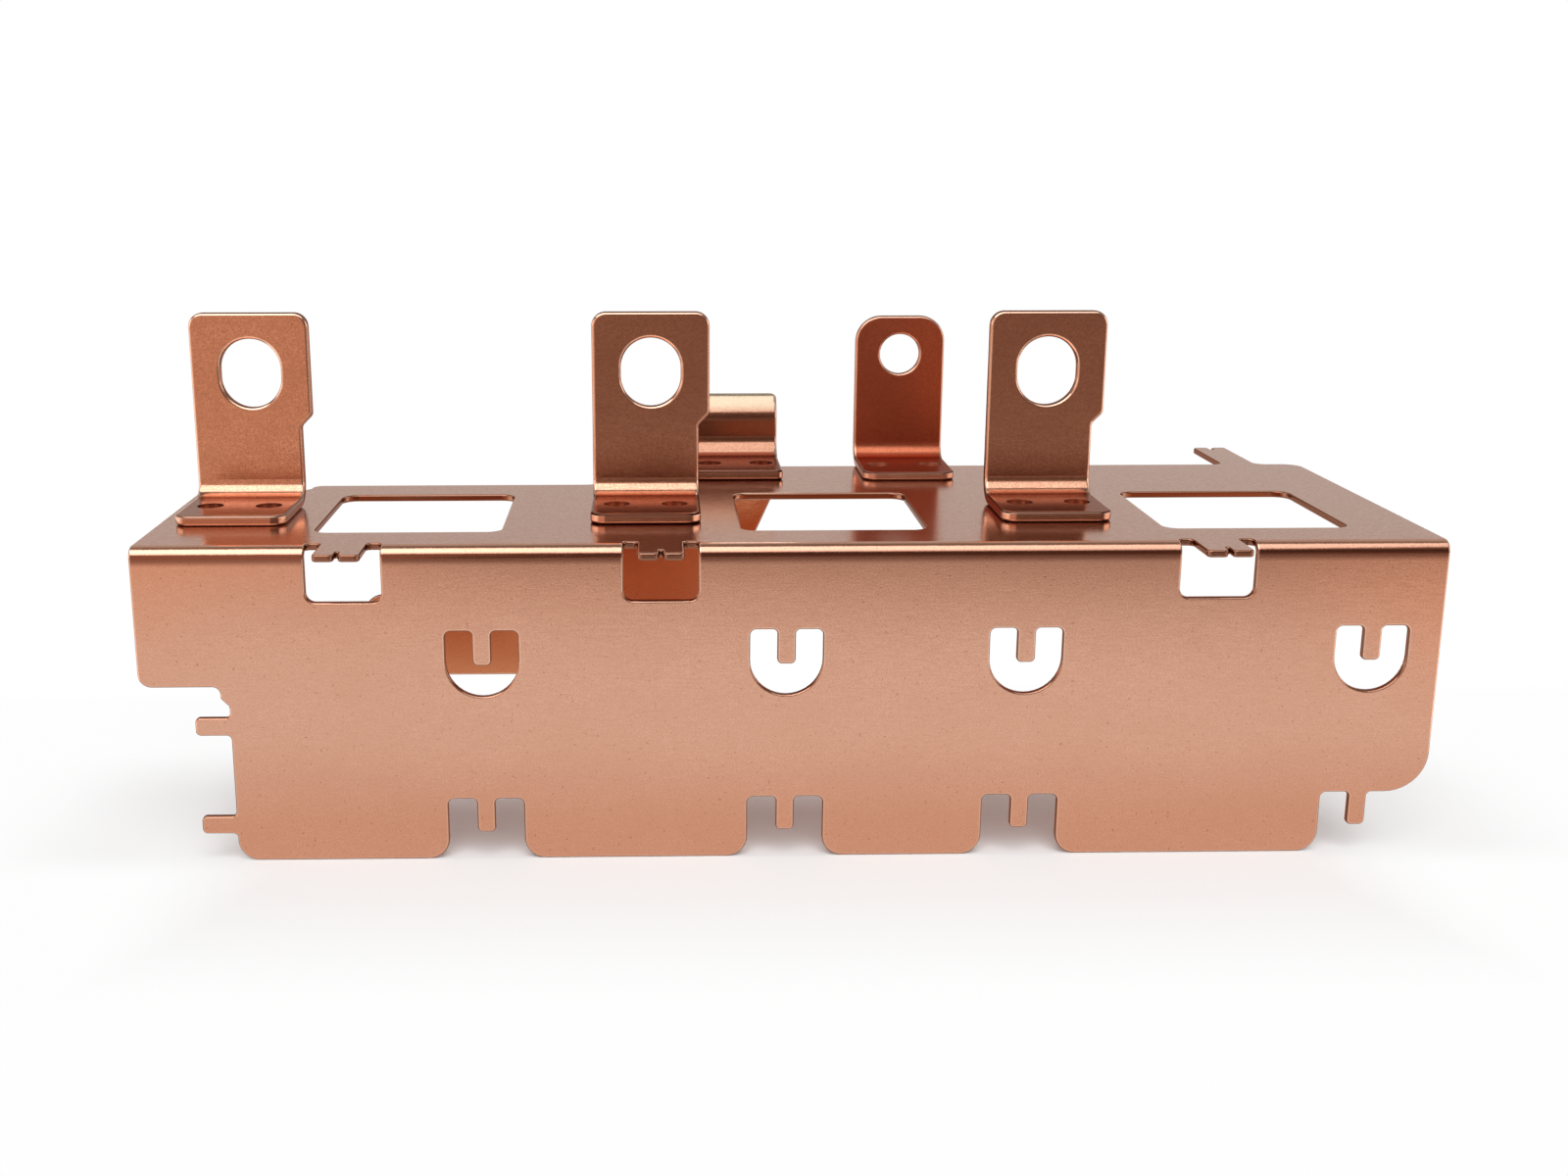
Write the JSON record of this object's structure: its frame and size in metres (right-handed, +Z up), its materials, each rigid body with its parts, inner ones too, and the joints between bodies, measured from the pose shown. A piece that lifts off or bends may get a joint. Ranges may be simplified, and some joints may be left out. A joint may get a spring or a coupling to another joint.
{
  "type": "bus bar",
  "caption": "Folded copper bus bar sheet with plate windows, solder tails in D-shaped holes, and welded upright terminal tabs for stud and screw connections.",
  "frame": {"origin": "centre of the bounding box at floor level, where the folded sheet stands on its feet", "axes": "+X along the bar to the viewer's right, +Y from the front wall towards the rear wall, +Z up"},
  "size_m": [0.17, 0.0772, 0.0698],
  "materials": {
    "copper": "satin, finely brushed bare copper"
  },
  "bodies": {
    "root": {"bus_sheet": "copper", "front_terminal_left": "copper", "front_terminal_middle": "copper", "front_terminal_right": "copper", "rear_terminal": "copper", "rear_step_terminal": "copper"}
  },
  "joints": []
}
